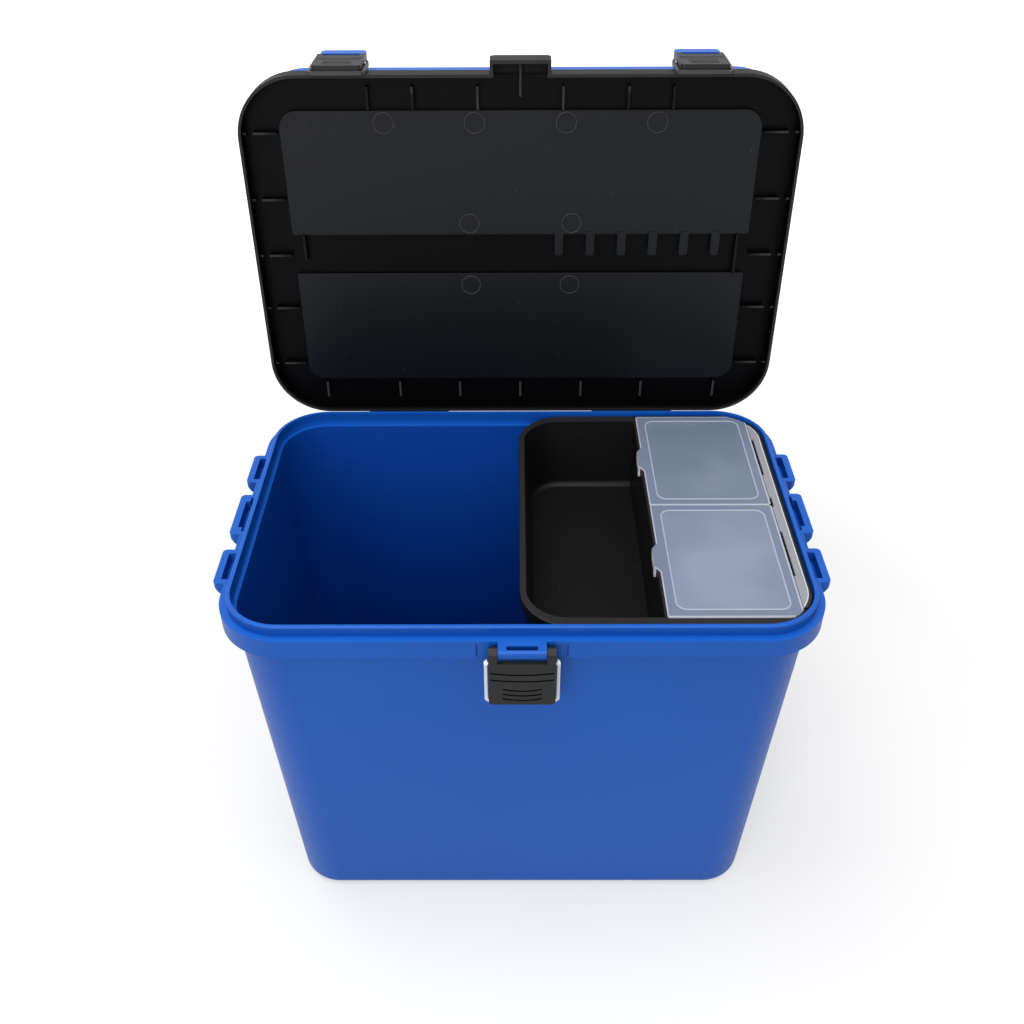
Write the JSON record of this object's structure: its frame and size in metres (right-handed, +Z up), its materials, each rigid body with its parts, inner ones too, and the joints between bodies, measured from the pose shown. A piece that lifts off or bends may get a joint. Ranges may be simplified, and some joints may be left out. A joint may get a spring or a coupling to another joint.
{
  "type": "fishing seat box",
  "caption": "Two-section seat box: an open tub with a lidded tray, a hinged upper compartment with pocket panels and a padless seat lid, closed by bail latches.",
  "frame": {"origin": "middle of the tub's base, on the ground", "axes": "+Z up, the front with the latches faces -Y, +X to the right seen from the front"},
  "size_m": [0.3948, 0.3439, 0.5426],
  "materials": {
    "blue_plastic": "satin moulded polypropylene",
    "black_plastic": "fine-grained moulded polypropylene",
    "smoked_plastic": "smoked, softly glossy sheet",
    "charcoal_plastic": "satin moulded plastic",
    "white_plastic": "satin moulded plastic",
    "frosted_plastic": "frosted translucent polypropylene",
    "steel_pin": "plain steel wire",
    "grey_plastic": "satin moulded plastic"
  },
  "bodies": {
    "tub": {"tub": "blue_plastic", "main_hinge_pins": "steel_pin"},
    "upper_section": {"upper_section": "black_plastic", "pocket_panel_front": "smoked_plastic", "pocket_panel_rear": "smoked_plastic", "seat_hinge_pins": "steel_pin"},
    "seat_lid": {"seat_lid": "blue_plastic"},
    "front_latch_lever": {"front_latch_lever": "charcoal_plastic", "front_bail_pin": "steel_pin"},
    "front_latch_bail": {"front_latch_bail": "white_plastic"},
    "left_latch_lever": {"left_latch_lever": "charcoal_plastic", "left_bail_pin": "steel_pin"},
    "left_latch_bail": {"left_latch_bail": "grey_plastic"},
    "right_latch_lever": {"right_latch_lever": "charcoal_plastic", "right_bail_pin": "steel_pin"},
    "right_latch_bail": {"right_latch_bail": "grey_plastic"},
    "tray": {"tray": "black_plastic", "tray_hinge_strip": "frosted_plastic"},
    "rear_tray_lid": {"rear_tray_lid": "frosted_plastic"},
    "front_tray_lid": {"front_tray_lid": "frosted_plastic"}
  },
  "joints": [
    {"name": "upper_section_hinge", "type": "hinge", "parent": "tub", "child": "upper_section", "pos_m": [0, 0.1284, 0.2797], "axis": [-1, 0, 0], "range_deg": [-92, 0]},
    {"name": "seat_lid_hinge", "type": "hinge", "parent": "upper_section", "child": "seat_lid", "pos_m": [0, 0.16837, 0.28401], "axis": [-1, 0, 0], "range_deg": [0, 90]},
    {"name": "front_lever_pivot", "type": "hinge", "parent": "tub", "child": "front_latch_lever", "pos_m": [0, -0.1315, 0.2779], "axis": [-1, 0, 0], "range_deg": [0, 130]},
    {"name": "front_bail_pivot", "type": "hinge", "parent": "front_latch_lever", "child": "front_latch_bail", "pos_m": [0, -0.131, 0.2676], "axis": [1, 0, 0], "range_deg": [-180, 0]},
    {"name": "left_lever_pivot", "type": "hinge", "parent": "upper_section", "child": "left_latch_lever", "pos_m": [-0.12, 0.17012, 0.5347], "axis": [-1, 0, 0], "range_deg": [0, 110]},
    {"name": "left_bail_pivot", "type": "hinge", "parent": "left_latch_lever", "child": "left_latch_bail", "pos_m": [-0.12, 0.16311, 0.53444], "axis": [1, 0, 0], "range_deg": [-180, 0]},
    {"name": "right_lever_pivot", "type": "hinge", "parent": "upper_section", "child": "right_latch_lever", "pos_m": [0.12, 0.17012, 0.5347], "axis": [-1, 0, 0], "range_deg": [0, 110]},
    {"name": "right_bail_pivot", "type": "hinge", "parent": "right_latch_lever", "child": "right_latch_bail", "pos_m": [0.12, 0.16311, 0.53444], "axis": [1, 0, 0], "range_deg": [-180, 0]},
    {"name": "tray_lift", "type": "slide", "parent": "tub", "child": "tray", "axis": [0, 0, 1], "range_m": [0, 0.12]},
    {"name": "rear_tray_lid_hinge", "type": "hinge", "parent": "tray", "child": "rear_tray_lid", "pos_m": [0.1716, 0.058, 0.2858], "axis": [0, 1, 0], "range_deg": [0, 100]},
    {"name": "front_tray_lid_hinge", "type": "hinge", "parent": "tray", "child": "front_tray_lid", "pos_m": [0.1716, -0.054, 0.2858], "axis": [0, 1, 0], "range_deg": [0, 100]}
  ]
}
